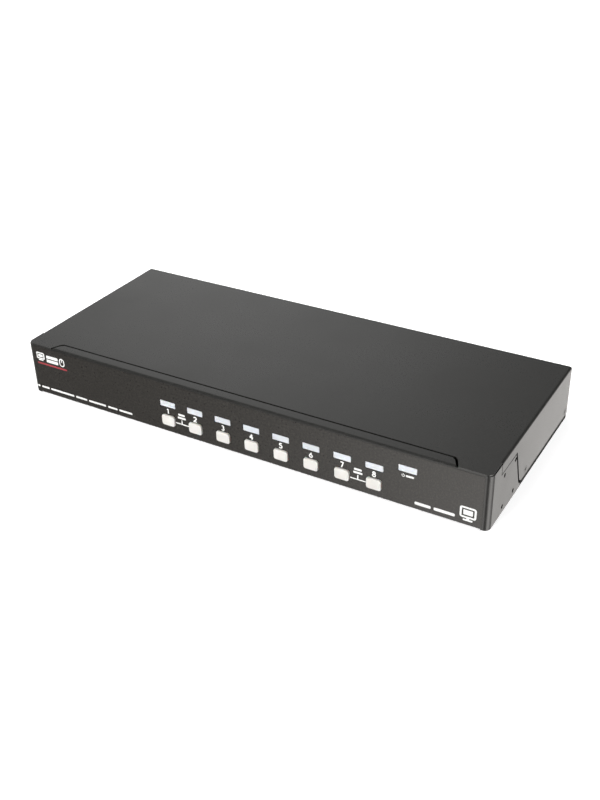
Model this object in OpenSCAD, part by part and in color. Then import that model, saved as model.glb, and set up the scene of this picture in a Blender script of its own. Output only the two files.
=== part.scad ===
// KVM switch, about one rack unit high, for eight computers.
// X is the width (+X is the right side seen from the front), the front faces -Y, Z is up.
// The origin is the middle of the case's footprint, on the surface it stands on.

/* [Case] */
// Width of the case
case_w = 400; // [396:1:420]
// Depth of the case
case_d = 164; // [160:1:200]
// Height of the case, about one rack unit
case_h = 45.5; // [45:0.1:46]
// Thickness of the steel sheet
sheet_t = 1.2; // [1:0.1:1.4]
// Outside radius of the front panel's two upright corner bends
wrap_r = 4.5; // [2:0.5:5]
// Radius of the cover plate's front corners, seen from above
plate_r = 4.5; // [2.5:0.5:6]
// How far the cover's plate stands back at each side, in front of the lips
plate_inset = 0.6; // [0:0.1:1]
// Outside radius of the long bends along the top and the bottom
bend_r = 1.8; // [1.6:0.1:2.4]

/* [Front panel] */
// Half the width of the top flange, at the front edge
flange_half_w = 174.4; // [160:0.1:182]
// Depth of the top flange, from the front face
flange_d = 8.6; // [7:0.1:12]
// How much narrower each end of the top flange is at its back edge
flange_taper = 6; // [4:0.5:9]
// Gap between the top flange and the cover's cut-out
flange_gap = 1.5; // [0.4:0.1:2]
// Depth of the bottom flange, from the front face
foot_flange_d = 13; // [11:0.5:15]
// Half the width of the printed film on the front
film_half_w = 195; // [190:0.5:195]
// Thickness of the film
film_t = 0.2; // [0.15:0.05:0.4]

/* [Cover] */
// Height of the skirts' lower edge above the base
skirt_z = 4.5; // [4:0.1:5]
// Place of the skirts' front edge, at their lower edge, measured to the sharp corner
skirt_y = -23.5; // [-28:0.5:-20]
// Lean of the skirts' front edge, in degrees
skirt_lean = 19; // [5:1:24]
// Radius of the skirts' lower front corner
skirt_r = 7; // [5:0.5:10]
// Gap between the skirts and the front panel's wings
skirt_gap = 2.2; // [0.8:0.1:2.3]
// Underside of the lip that runs forward from each skirt
lip_z = 36.5; // [35.5:0.1:39]
// Front end of the lip
lip_y = -64; // [-66:0.5:-60]
// Gap under the lip
lip_gap = 0.8; // [0.3:0.1:1]

/* [Buttons and windows] */
// Number of computers, with a button and a window each
port_count = 8; // [8:1:8]
// Distance between the button centres
button_pitch = 25.2; // [24:0.1:25.6]
// Middle of the row of buttons, across the case
row_x = 26.5; // [20:0.5:30]
// Height of the button centres
button_z = 11.3; // [10.5:0.1:12]
// Width of a button
button_w = 11.6; // [10:0.1:12.5]
// Height of a button
button_h = 8.8; // [8:0.1:9.5]
// Corner radius of a button
button_r = 1.9; // [1:0.1:3]
// How far a button stands out of the front panel
button_proud = 1.5; // [1:0.1:2]
// Gap round a button in its opening
button_gap = 0.35; // [0.25:0.05:0.5]
// Travel of a button
button_travel = 0.8; // [0.5:0.1:0.8]
// Height of the port windows' centres
window_z = 25.4; // [24.5:0.1:26.5]
// Width of a window
window_w = 14; // [12:0.1:15]
// Height of a window
window_h = 5.2; // [4.5:0.1:6]
// Place of the power window, across the case
power_x = 139.9; // [138:0.1:142]
// Height of the power window's centre
power_z = 31.3; // [29.5:0.1:32]

/* [Rack ear holes] */
// Distance between the ear holes, front to back
ear_pitch_y = 21; // [18:0.5:22]
// Distance between the ear holes, up and down
ear_pitch_z = 26; // [22:0.5:26]
// Centre of the ear holes, front to back
ear_y = -47.5; // [-49:0.5:-47]
// Centre of the ear holes, above the base
ear_z = 19; // [18.5:0.5:19.5]
// Radius of an ear hole
ear_hole_r = 1.75; // [1.5:0.05:2]

/* [Rear connectors] */
// Distance between two computer ports
port_pitch = 32; // [31.5:0.1:32]
// Place of the first computer port, across the case
port_x = -160; // [-162:1:-158]
// Place of the console video port
console_x = 106; // [104:1:110]
// Place of the two USB sockets
usb_x = 136; // [134:1:140]
// Place of the power inlet
jack_x = 166; // [162:1:170]
// Distance between the two jack screws of a video port
jack_screw_pitch = 25; // [24.9:0.1:25.1]
// How far a video port's shell stands out of the rear panel
shell_proud = 5.9; // [5:0.1:6.5]

/* [Hidden] */
$fn = 48;
half_w = case_w / 2;
front_y = -case_d / 2;
rear_y = case_d / 2;
inner_x = half_w - sheet_t;          // inside of the skirts and wings, outside of the tray
plate_z = case_h - sheet_t;          // underside of the cover's plate
fit_gap = 0.1;                       // clearance between two sheets or a lens and its opening
panel_back = front_y + sheet_t;      // back of the front panel's face

// Cover screws, countersunk in the skirts
cover_screw_y = [-12, 76];
cover_screw_z = 9;
flat_head_r = 2.8;
screw_r = 1.5;

// Screws up through the front panel's bottom flange
panel_screw_x = [-150, -50, 50, 150];
panel_screw_y = front_y + 8.5;
lip_front_y = front_y + 5;           // front edge of the tray's stepped lip
tray_front_y = front_y + foot_flange_d + 0.4;
foot_flange_half_w = 194;
tray_side_front_y = front_y + wrap_r + 0.1;
corner_relief = 0.7;                 // clears the inside of the cover's bends
wing_tongue = 1;                     // how far the wings run on under the skirts' corners
hem_out = 0.9;                       // how far the hem under each skirt stands out of the tray's side
hem_gap = 0.4;                       // seam between the hem and its neighbours

// Front board, upright behind the front panel
board_t = 1.6;
front_board_y = front_y + 11.4;      // its front face
front_board_x = [-96, 162];
front_board_z = [5.9, 41.5];
front_post_at = [[-89, 10.5], [-89, 35.5], [26.5, 36.5], [155, 10.5], [155, 36.5]];
front_post_r = 3;
switch_h = 3.6;
switch_w = 6.2;
plunger_r = 1.7;
switch_front_y = front_board_y - switch_h;
collar_y = [panel_back + 0.3, panel_back + 1.5];
boss_end_y = switch_front_y - button_travel - 0.2;
lens_back_t = 1.5;
lens_back_h = 8.4;
window_peg_r = 1.2;                  // pegs that hold the windows on the front board
power_peg_x = 8;                     // their place each side of the power window's middle
led_r = 1.5;

// Main board, flat on standoffs
main_board_z = 7.6;
main_top_z = main_board_z + board_t;
main_board_x = [-180, 184];
main_board_y = [-52, 79];
main_post_at = [[-172, -45], [0, -45], [176, -45], [-174, 52], [-16, 52], [178, 44]];

// Connectors on the rear panel
video_z = main_top_z + 6.5;
flange_w = 30.8;
flange_h = 12.4;
flange_t = 0.8;
shell_w = 16.9;
shell_h = 8.4;
shell_cut = 1.6;
jack_screw_hole_r = 1.6;
usb_w = 13.2;
usb_h = 15.6;
usb_socket_z = [1.2, 9];             // floors of the two sockets
jack_z = main_top_z + 6.4;
jack_collar_r = 4.6;

// Flat cable between the two boards
cable_x = 96;
cable_w = 16;
cable_t = 1;
header_w = 20;
header_floor = 2.5;
front_header_z = 31.5;
main_header_y = -42;

function button_x(i) = row_x + (i - (port_count + 1) / 2) * button_pitch;
function pc_port_x(i) = port_x + (i - 1) * port_pitch;
video_x = concat([for (i = [1 : port_count]) pc_port_x(i)], [console_x]);
window_peg_x = [button_x(1) - 10.5, button_x(4) + button_pitch / 2, button_x(8) + 10.5];

// ---- shapes used by several parts ----

// Rectangle with round corners, centred
module rounded_rect(w, h, r) {
    square([w - 2 * r, h], center = true);
    square([w, h - 2 * r], center = true);
    for (x = [-1, 1], y = [-1, 1])
        translate([x * (w / 2 - r), y * (h / 2 - r)]) circle(r);
}

// A front view drawn in X and Z, made solid from y0 back to y1
module from_front(y0, y1) {
    translate([0, y1, 0]) rotate([90, 0, 0]) linear_extrude(y1 - y0) children();
}

// A side view drawn in Y and Z, made solid from x0 to x1
module from_side(x0, x1) {
    translate([x0, 0, 0]) rotate([90, 0, 90]) linear_extrude(x1 - x0) children();
}

// A round rod along Y
module rod_y(r, y0, y1) {
    translate([0, y0, 0]) rotate([-90, 0, 0]) cylinder(r = r, h = y1 - y0);
}

// A block between two corners
module block(low, high) {
    translate(low) cube(high - low);
}

// Closed ring of sheet round a w by h rectangle, with bends at its corners
module sheet_ring(w, h, r) {
    difference() {
        rounded_rect(w, h, r);
        rounded_rect(w - 2 * sheet_t, h - 2 * sheet_t, r - sheet_t);
    }
}

// Countersunk screw along +Z, its flat head at z = 0
module flat_screw(length) {
    cylinder(r1 = flat_head_r, r2 = screw_r, h = sheet_t);
    cylinder(r = screw_r, h = length);
}

// Screw with a domed head, which stands on z = 0 and points down
module pan_screw(length) {
    intersection() {
        cylinder(r = 2.8, h = 1.9);
        translate([0, 0, -1.9]) sphere(r = 4);
    }
    translate([0, 0, -length]) cylinder(r = screw_r, h = length);
}

// Round standoff with a threaded bore, standing on z = 0
module standoff(h) {
    difference() {
        cylinder(r = front_post_r, h = h);
        translate([0, 0, h - 5]) cylinder(r = screw_r, h = 6);
    }
}

// Holes for the rack ears, through both sides of the case
module ear_holes() {
    for (y = [-0.5, 0.5], z = [-0.5, 0.5])
        translate([-half_w - 1, ear_y + y * ear_pitch_y, ear_z + z * ear_pitch_z])
            rotate([0, 90, 0]) cylinder(r = ear_hole_r, h = case_w + 2);
}

// Side view of a skirt and its lip, grown by the gaps that a neighbour leaves
module skirt_outline(gap, gap_under_lip) {
    low = skirt_z - gap;
    centre = [skirt_y + skirt_r * (1 - sin(skirt_lean)) / cos(skirt_lean), skirt_z + skirt_r];
    edge = centre - (skirt_r + gap) * [cos(skirt_lean), sin(skirt_lean)];
    under = lip_z - gap_under_lip;
    polygon([
        [centre.x, low], [rear_y, low], [rear_y, case_h],
        [lip_y - gap_under_lip, case_h], [lip_y - gap_under_lip, under],
        [edge.x - (under - edge.y) * tan(skirt_lean), under], edge, centre
    ]);
    translate(centre) circle(skirt_r + gap);
}

// Plan of the top flange, grown by the gap of the cut-out round it
module flange_plan(gap, y0) {
    front = flange_half_w + gap;
    back_y = front_y + flange_d + gap;
    right = [[front, y0], [front, front_y], [front - flange_taper * 0.6, back_y - 2.2],
             [front - flange_taper, back_y]];
    left = [for (i = [3 : -1 : 0]) [-right[i].x, right[i].y]];
    polygon(concat(right, left));
}

// Outline of a video port's shell: wide at the top, narrow at the bottom, corners clipped
module d_outline(grow) {
    w = shell_w / 2 + grow;
    h = shell_h / 2 + grow;
    slope = 2 * h * tan(10);
    c = shell_cut;
    polygon([
        [c - w, h], [w - c, h], [w, h - c], [w - slope, c - h], [w - slope - c, -h],
        [slope + c - w, -h], [slope - w, c - h], [-w, h - c]
    ]);
}

// ---- case ----

// Front face and its flanges, in side view
module face_profile(with_top_flange) {
    top = with_top_flange ? case_h : case_h + 2 * bend_r;
    difference() {
        translate([0, top / 2]) sheet_ring(case_d, top, bend_r);
        translate([front_y + flange_d, case_h / 2]) square([case_d, case_h + 1]);
        translate([front_y + foot_flange_d, -1]) square([case_d, case_h]);
        if (!with_top_flange)
            translate([front_y - 1, plate_z - fit_gap]) square([case_d, case_h]);
    }
}

// Openings for the buttons and the windows, through the front panel and its film
module front_openings() {
    from_front(front_y - 1, panel_back + 1) {
        for (i = [1 : port_count]) {
            translate([button_x(i), button_z])
                rounded_rect(button_w + 2 * button_gap, button_h + 2 * button_gap,
                             button_r + button_gap);
            translate([button_x(i), window_z])
                rounded_rect(window_w + 2 * fit_gap, window_h + 2 * fit_gap, 0.7);
        }
        translate([power_x, power_z])
            rounded_rect(window_w + 2 * fit_gap, window_h + 2 * fit_gap, 0.7);
    }
}

module front_panel() {
    color([0.13, 0.13, 0.13]) difference() {
        union() {
            intersection() {
                linear_extrude(plate_z - fit_gap) difference() {
                    sheet_ring(case_w, case_d, wrap_r);
                    square([2 * foot_flange_half_w, case_d + 1], center = true);
                }
                difference() {
                    from_side(-half_w - 1, half_w + 1)
                        translate([front_y, 0]) square([skirt_y + wing_tongue - front_y, case_h]);
                    from_side(-half_w - 2, half_w + 2) skirt_outline(skirt_gap, lip_gap);
                }
            }
            intersection() {
                from_side(-flange_half_w, flange_half_w) face_profile(true);
                union() {
                    linear_extrude(case_h + 1) flange_plan(0, front_y - 1);
                    block([-half_w, front_y - 1, -1], [half_w, rear_y, plate_z - fit_gap]);
                }
            }
            for (side = [-1, 1])
                from_side(min(side * flange_half_w, side * foot_flange_half_w),
                          max(side * flange_half_w, side * foot_flange_half_w))
                    face_profile(false);
        }
        front_openings();
        for (x = panel_screw_x) translate([x, panel_screw_y, 0]) flat_screw(sheet_t + 1);
        ear_holes();
    }
}

module front_film() {
    film_z = [bend_r + 0.2, case_h - bend_r - 0.2];
    color([0.16, 0.16, 0.15]) difference() {
        block([-film_half_w, front_y - film_t, film_z[0]], [film_half_w, front_y, film_z[1]]);
        front_openings();
    }
}

module bottom_tray() {
    color([0.17, 0.17, 0.17]) difference() {
        union() {
            difference() {
                from_front(tray_side_front_y, rear_y - sheet_t)
                    translate([0, plate_z]) sheet_ring(2 * inner_x, 2 * plate_z, bend_r);
                block([-half_w, -case_d, plate_z], [half_w, case_d, 3 * case_h]);
                block([-inner_x + 3, -case_d, -1], [inner_x - 3, tray_front_y, sheet_t + 1]);
            }
            block([-inner_x, rear_y - sheet_t, 0], [inner_x, rear_y, plate_z]);
            block([-inner_x + 8, rear_y - 11, plate_z - sheet_t], [inner_x - 8, rear_y, plate_z]);
            block([-foot_flange_half_w + 1, lip_front_y, sheet_t],
                  [foot_flange_half_w - 1, tray_front_y + 1.5, 2 * sheet_t]);
            for (side = [-1, 1])
                translate([side * (inner_x + (hem_out - sheet_t) / 2), 0, 0])
                    from_side(-(hem_out + sheet_t) / 2, (hem_out + sheet_t) / 2)
                        translate([skirt_y + wing_tongue + hem_gap, 0])
                            square([rear_y - skirt_y - wing_tongue - hem_gap, skirt_z - hem_gap]);
        }
        for (side = [-1, 1])
            translate([side * inner_x, 0, plate_z])
                cube([2 * corner_relief, 2 * case_d, 2 * corner_relief], center = true);
        for (x = panel_screw_x)
            translate([x, panel_screw_y, 0]) cylinder(r = screw_r, h = 3 * sheet_t);
        for (side = [-1, 1], y = cover_screw_y)
            translate([side * (half_w - 2), y, cover_screw_z])
                rotate([0, 90, 0]) cylinder(r = screw_r, h = 8, center = true);
        ear_holes();
        from_front(rear_y - 2 * sheet_t, rear_y + 1) {
            for (x = video_x) translate([x, video_z]) {
                d_outline(0.3);
                for (side = [-0.5, 0.5])
                    translate([side * jack_screw_pitch, 0]) circle(jack_screw_hole_r);
            }
            translate([usb_x, main_top_z + usb_h / 2]) square([usb_w + 0.6, usb_h + 0.6], center = true);
            translate([jack_x, jack_z]) circle(jack_collar_r + 0.2);
        }
    }
}

module top_cover() {
    color([0.3, 0.3, 0.3]) difference() {
        union() {
            intersection() {
                from_front(lip_y, rear_y) sheet_ring(case_w, 2 * case_h, bend_r);
                from_side(-half_w - 1, half_w + 1) skirt_outline(0, 0);
            }
            intersection() {
                translate([0, 0, plate_z]) linear_extrude(sheet_t)
                    rounded_rect(case_w - 2 * plate_inset, case_d, plate_r);
                block([-half_w, front_y, 0], [half_w, lip_y, case_h]);
            }
        }
        translate([0, 0, plate_z - 1]) linear_extrude(case_h) flange_plan(flange_gap, front_y - 1);
        for (y = cover_screw_y) translate([0, y, cover_screw_z]) {
            translate([half_w, 0, 0]) rotate([0, -90, 0]) flat_screw(3);
            translate([-half_w, 0, 0]) rotate([0, 90, 0]) flat_screw(3);
        }
    }
}

module cover_screws() {
    color([0.2, 0.2, 0.2]) for (y = cover_screw_y) translate([0, y, cover_screw_z]) {
        translate([half_w, 0, 0]) rotate([0, -90, 0]) flat_screw(6);
        translate([-half_w, 0, 0]) rotate([0, 90, 0]) flat_screw(6);
    }
}

module panel_screws() {
    color([0.2, 0.2, 0.2])
        for (x = panel_screw_x) translate([x, panel_screw_y, 0]) flat_screw(5);
}

// ---- buttons ----

module button(i) {
    color([0.9, 0.88, 0.82]) translate([button_x(i), 0, button_z]) difference() {
        union() {
            from_front(front_y - button_proud, collar_y[1]) rounded_rect(button_w, button_h, button_r);
            from_front(collar_y[0], collar_y[1])
                rounded_rect(button_w + 2.4, button_h + 2, button_r + 0.6);
            from_front(collar_y[1], boss_end_y) rounded_rect(6, 6, 0.8);
        }
        rod_y(plunger_r, boss_end_y - 2.4, boss_end_y + 1);
    }
}

module plunger(i) {
    color([0.1, 0.1, 0.1]) translate([button_x(i), 0, button_z])
        rod_y(plunger_r, boss_end_y - 2.4, switch_front_y + 1.2);
}

module tact_switch(i) {
    color([0.15, 0.15, 0.16]) translate([button_x(i), 0, button_z]) difference() {
        from_front(switch_front_y, front_board_y) rounded_rect(switch_w, switch_w, 0.4);
        rod_y(plunger_r + 0.1, switch_front_y - 1, switch_front_y + 1.2 + button_travel + 0.3);
    }
}

// ---- windows and lights ----

// One lens pad, flush with the front face
module lens_pad() {
    from_front(front_y, panel_back) rounded_rect(window_w, window_h, 0.6);
}

module port_windows() {
    color([0.9, 0.93, 0.97]) {
        for (i = [1 : port_count]) translate([button_x(i), 0, window_z]) lens_pad();
        translate([row_x, 0, window_z]) from_front(panel_back, panel_back + lens_back_t)
            rounded_rect((port_count - 1) * button_pitch + 26, lens_back_h, 1);
        for (x = window_peg_x) translate([x, 0, window_z])
            rod_y(window_peg_r, panel_back + lens_back_t, front_board_y + board_t);
    }
}

module power_window() {
    color([0.9, 0.93, 0.97]) translate([power_x, 0, power_z]) {
        lens_pad();
        from_front(panel_back, panel_back + lens_back_t) rounded_rect(20, lens_back_h, 1);
        for (side = [-1, 1]) translate([side * power_peg_x, 0, 0])
            rod_y(window_peg_r, panel_back + lens_back_t, front_board_y + board_t);
    }
}

// One light: a domed body on a wider foot, facing the front
module led() {
    rotate([90, 0, 0]) {
        cylinder(r = led_r + 0.3, h = 1);
        cylinder(r = led_r, h = 4.2);
        translate([0, 0, 4.2]) sphere(r = led_r);
    }
}

module leds() {
    color([0.95, 0.6, 0.2]) {
        for (i = [1 : port_count]) translate([button_x(i), front_board_y, window_z]) led();
        translate([power_x, front_board_y, power_z]) led();
    }
}

// ---- front board ----

module front_board() {
    color([0.1, 0.36, 0.2]) difference() {
        block([front_board_x[0], front_board_y, front_board_z[0]],
              [front_board_x[1], front_board_y + board_t, front_board_z[1]]);
        for (at = front_post_at) translate([at.x, 0, at.y])
            rod_y(screw_r, front_board_y - 1, front_board_y + board_t + 1);
        for (x = window_peg_x) translate([x, 0, window_z])
            rod_y(window_peg_r, front_board_y - 1, front_board_y + board_t + 1);
        for (side = [-1, 1]) translate([power_x + side * power_peg_x, 0, power_z])
            rod_y(window_peg_r, front_board_y - 1, front_board_y + board_t + 1);
    }
}

module front_standoffs() {
    color([0.75, 0.75, 0.72]) for (at = front_post_at)
        translate([at.x, panel_back, at.y]) rotate([-90, 0, 0])
            standoff(front_board_y - panel_back);
}

module front_board_screws() {
    color([0.7, 0.7, 0.7]) for (at = front_post_at)
        translate([at.x, front_board_y + board_t, at.y]) rotate([-90, 0, 0])
            pan_screw(5.5);
}

// Box header of a flat cable, standing on z = 0
module box_header() {
    difference() {
        translate([-header_w / 2, -4.4, 0]) cube([header_w, 8.8, 9]);
        translate([1.2 - header_w / 2, -3.2, header_floor]) cube([header_w - 2.4, 6.4, 7]);
    }
}

module front_header() {
    color([0.12, 0.12, 0.13])
        translate([cable_x, front_board_y + board_t, front_header_z]) rotate([-90, 0, 0])
            box_header();
}

module main_header() {
    color([0.12, 0.12, 0.13]) translate([cable_x, main_header_y, main_top_z]) box_header();
}

// Flat cable: a plug in each header, and a strip that bends down between them
module ribbon_cable() {
    bend = 6;
    plug = [17.2, 6.4, 8];
    y0 = front_board_y + board_t + header_floor;
    z0 = main_top_z + header_floor;
    corner = [main_header_y - bend, front_header_z - bend];
    color([0.6, 0.6, 0.62]) translate([cable_x, 0, 0]) {
        block([-plug.x / 2, y0, front_header_z - plug.y / 2],
              [plug.x / 2, y0 + plug.z, front_header_z + plug.y / 2]);
        block([-plug.x / 2, main_header_y - plug.y / 2, z0],
              [plug.x / 2, main_header_y + plug.y / 2, z0 + plug.z]);
        block([-cable_w / 2, y0 + plug.z, front_header_z - cable_t / 2],
              [cable_w / 2, corner.x, front_header_z + cable_t / 2]);
        block([-cable_w / 2, main_header_y - cable_t / 2, z0 + plug.z],
              [cable_w / 2, main_header_y + cable_t / 2, corner.y]);
        translate([-cable_w / 2, corner.x, corner.y]) rotate([90, 0, 90])
            cable_bend(bend);
    }
}

// The flat cable's quarter turn, r at its middle
module cable_bend(r) {
    linear_extrude(cable_w) intersection() {
        difference() {
            circle(r + cable_t / 2);
            circle(r - cable_t / 2);
        }
        square(2 * r);
    }
}

// ---- main board ----

module main_board() {
    color([0.1, 0.36, 0.2]) difference() {
        block([main_board_x[0], main_board_y[0], main_board_z],
              [main_board_x[1], main_board_y[1], main_top_z]);
        for (at = main_post_at) translate([at.x, at.y, 0]) cylinder(r = screw_r, h = 20);
    }
}

module main_standoffs() {
    color([0.75, 0.75, 0.72]) for (at = main_post_at)
        translate([at.x, at.y, sheet_t]) standoff(main_board_z - sheet_t);
}

module main_board_screws() {
    color([0.7, 0.7, 0.7]) for (at = main_post_at)
        translate([at.x, at.y, main_top_z]) pan_screw(5.5);
}

module main_chip() {
    color([0.12, 0.12, 0.12]) translate([-50, -8, main_top_z]) {
        translate([-10, -10, 0.2]) cube([20, 20, 2]);
        translate([-11.5, -11.5, 0]) cube([23, 23, 0.2]);
    }
}

module video_chips() {
    color([0.12, 0.12, 0.12]) for (i = [1 : port_count])
        translate([pc_port_x(i), 52, main_top_z]) {
            translate([-5, -2, 0.2]) cube([10, 4, 1.6]);
            translate([-5, -3, 0]) cube([10, 6, 0.2]);
        }
}

module heat_sink() {
    fins = 6;
    color([0.6, 0.6, 0.62]) translate([130, 10, main_top_z]) {
        translate([-15, -10, 0]) cube([30, 20, 3]);
        for (i = [0 : fins - 1]) translate([-15 + i * 5.6, -10, 3]) cube([2, 20, 9]);
    }
}

module capacitors() {
    color([0.15, 0.2, 0.45]) for (at = [[158, 40], [158, 26], [158, 12], [100, 34]])
        translate([at.x, at.y, main_top_z]) {
            cylinder(r = 4, h = 11);
            cylinder(r = 4.2, h = 1);
        }
}

module buzzer() {
    color([0.1, 0.1, 0.1]) translate([40, -35, main_top_z]) difference() {
        cylinder(r = 6, h = 8);
        translate([0, 0, 6]) cylinder(r = 1.2, h = 3);
    }
}

// ---- rear connectors ----

// Right-angle video port: moulding on the board, plate behind the panel, shell through it
module video_port(x) {
    back = rear_y - sheet_t;
    moulding = [18.4, 12];
    color([0.75, 0.75, 0.77]) translate([x, 0, 0]) {
        block([-moulding.x / 2, back - moulding.y, main_top_z],
              [moulding.x / 2, back - flange_t, video_z + flange_h / 2]);
        difference() {
            translate([0, 0, video_z]) from_front(back - flange_t, back)
                square([flange_w, flange_h], center = true);
            for (side = [-0.5, 0.5]) translate([side * jack_screw_pitch, 0, video_z])
                rod_y(jack_screw_hole_r, back - 2, back + 1);
        }
        translate([0, 0, video_z]) from_front(back, rear_y + shell_proud) d_outline(0);
    }
}

module jack_screws() {
    color([0.75, 0.75, 0.72]) for (x = video_x, side = [-0.5, 0.5])
        translate([x + side * jack_screw_pitch, 0, video_z]) difference() {
            union() {
                translate([0, rear_y, 0]) rotate([-90, 0, 0]) cylinder(r = 2.75, h = 4.8, $fn = 6);
                rod_y(1.5, rear_y - 5.5, rear_y);
            }
            rod_y(1.2, rear_y - 1, rear_y + 6);
        }
}

module usb_ports() {
    back = rear_y - 17;
    socket = [12.4, 20, 5.3];
    tongue = [11, 9, 1.7];
    color([0.75, 0.75, 0.77]) translate([usb_x, 0, main_top_z]) {
        difference() {
            block([-usb_w / 2, back, 0], [usb_w / 2, rear_y + 0.6, usb_h]);
            for (z = usb_socket_z) translate([-socket.x / 2, back + 6, z]) cube(socket);
        }
        for (z = usb_socket_z) translate([-tongue.x / 2, back + 6, z + 3]) cube(tongue);
    }
}

module dc_jack() {
    front = rear_y + 0.5;
    bore = 10;
    color([0.1, 0.1, 0.1]) translate([jack_x, 0, 0]) {
        difference() {
            union() {
                block([-4.5, rear_y - 14, main_top_z], [4.5, rear_y - sheet_t, main_top_z + 11]);
                translate([0, 0, jack_z]) rod_y(jack_collar_r, rear_y - sheet_t, front);
            }
            translate([0, 0, jack_z]) rod_y(3.2, front - bore, front + 1);
        }
        translate([0, 0, jack_z]) rod_y(1, front - bore, front - 1.5);
    }
}

bottom_tray();
front_panel();
front_film();
top_cover();
cover_screws();
panel_screws();
button(1);  // button_1
button(2);  // button_2
button(3);  // button_3
button(4);  // button_4
button(5);  // button_5
button(6);  // button_6
button(7);  // button_7
button(8);  // button_8
plunger(1);  // plunger_1
plunger(2);  // plunger_2
plunger(3);  // plunger_3
plunger(4);  // plunger_4
plunger(5);  // plunger_5
plunger(6);  // plunger_6
plunger(7);  // plunger_7
plunger(8);  // plunger_8
tact_switch(1);  // switch_1
tact_switch(2);  // switch_2
tact_switch(3);  // switch_3
tact_switch(4);  // switch_4
tact_switch(5);  // switch_5
tact_switch(6);  // switch_6
tact_switch(7);  // switch_7
tact_switch(8);  // switch_8
port_windows();
power_window();
leds();
front_board();
front_standoffs();
front_board_screws();
front_header();
ribbon_cable();
main_board();
main_standoffs();
main_board_screws();
main_header();
main_chip();
video_chips();
heat_sink();
capacitors();
buzzer();
video_port(pc_port_x(1));  // pc_port_1
video_port(pc_port_x(2));  // pc_port_2
video_port(pc_port_x(3));  // pc_port_3
video_port(pc_port_x(4));  // pc_port_4
video_port(pc_port_x(5));  // pc_port_5
video_port(pc_port_x(6));  // pc_port_6
video_port(pc_port_x(7));  // pc_port_7
video_port(pc_port_x(8));  // pc_port_8
video_port(console_x);  // console_port
jack_screws();
usb_ports();
dc_jack();
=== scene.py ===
import math

import bmesh
import bpy
from mathutils import Matrix, Vector


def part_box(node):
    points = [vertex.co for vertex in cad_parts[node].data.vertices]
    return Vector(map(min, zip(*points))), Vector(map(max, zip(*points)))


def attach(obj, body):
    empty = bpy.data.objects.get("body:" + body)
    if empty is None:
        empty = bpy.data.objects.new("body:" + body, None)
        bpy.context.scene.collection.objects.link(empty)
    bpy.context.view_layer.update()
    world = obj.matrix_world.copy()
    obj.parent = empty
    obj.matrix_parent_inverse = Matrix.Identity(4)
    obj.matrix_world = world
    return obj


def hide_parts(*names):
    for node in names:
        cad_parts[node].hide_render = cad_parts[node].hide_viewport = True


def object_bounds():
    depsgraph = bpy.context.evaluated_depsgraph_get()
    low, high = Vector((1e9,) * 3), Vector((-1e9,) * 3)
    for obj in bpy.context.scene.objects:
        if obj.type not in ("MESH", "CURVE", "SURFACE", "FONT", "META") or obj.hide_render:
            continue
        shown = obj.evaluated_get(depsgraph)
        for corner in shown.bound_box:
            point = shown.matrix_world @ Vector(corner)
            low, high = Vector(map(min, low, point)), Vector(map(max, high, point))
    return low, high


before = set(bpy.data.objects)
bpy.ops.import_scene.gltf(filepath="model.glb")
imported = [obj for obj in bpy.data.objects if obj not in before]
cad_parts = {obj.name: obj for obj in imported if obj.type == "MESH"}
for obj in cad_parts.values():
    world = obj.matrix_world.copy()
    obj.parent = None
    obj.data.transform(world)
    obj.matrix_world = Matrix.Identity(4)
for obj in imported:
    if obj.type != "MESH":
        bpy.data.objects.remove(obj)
cad_low, cad_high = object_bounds()

MM = 0.001
scene = bpy.context.scene

# -------- sizes, in millimetres, from the CAD


def box_mm(node):
    low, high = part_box(node)
    return [c / MM for c in low], [c / MM for c in high]


def middle_xz(node):
    low, high = box_mm(node)
    return (low[0] + high[0]) / 2, (low[2] + high[2]) / 2


# the case and its sheet
cover_low, cover_high = box_mm("top_cover")
HALF_W, FRONT, REAR, TOP = cover_high[0], cover_low[1], cover_high[1], cover_high[2]
SHEET = 1.2
PLATE, INNER, PANEL_BACK = TOP - SHEET, HALF_W - SHEET, FRONT + SHEET
WRAP_R, PLATE_R, PLATE_INSET, BEND_R = 4.5, 4.5, 0.6, 1.8
# the front panel: top flange, foot under the case, and wings
FLANGE_HALF, FLANGE_D, FLANGE_TAPER, FLANGE_GAP = 174.4, 8.6, 6.0, 1.5
FOOT_D, FOOT_HALF = 13.0, 194.0
WING_TOP, WING_TONGUE = PLATE - 0.1, 1.0
# the cover's skirts and their lips, and the tray's hems under them
SKIRT_Z, SKIRT_Y, SKIRT_R, SKIRT_LEAN, SKIRT_GAP = cover_low[2], -23.5, 7.0, math.radians(19), 2.2
LIP_Z, LIP_Y, LIP_GAP = 36.5, -64.0, 0.8
HEM_OUT, HEM_GAP = 0.9, 0.4
# holes and screws
EAR_Y, EAR_Z, EAR_HOLE_R = (-58.0, -37.0), (6.0, 32.0), 1.75
COVER_SCREW_Y, COVER_SCREW_Z = (-12.0, 76.0), 9.0
PANEL_SCREW_X, PANEL_SCREW_Y = (-150, -50, 50, 150), FRONT + 8.5
SCREW_HOLE_R, SINK_R = 1.5, 3.0
# film, buttons and windows
FILM_HALF, FILM_T, FILM_Z = 195.0, 0.2, (BEND_R + 0.2, TOP - BEND_R - 0.2)
BUTTON_W, BUTTON_H, BUTTON_R = 11.6, 8.8, 1.9
WINDOW_W, WINDOW_H, WINDOW_R = 14.0, 5.2, 0.6
BUTTON_PLAY, WINDOW_PLAY = 0.7, 0.2
BUTTONS = [(i, *middle_xz(f"button_{i}")) for i in range(1, 9)]
window_low, window_high = box_mm("port_windows")
WINDOW_Z = middle_xz("port_windows")[1]
POWER_X, POWER_Z = middle_xz("power_window")

# -------- mesh helpers, all in millimetres


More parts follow.
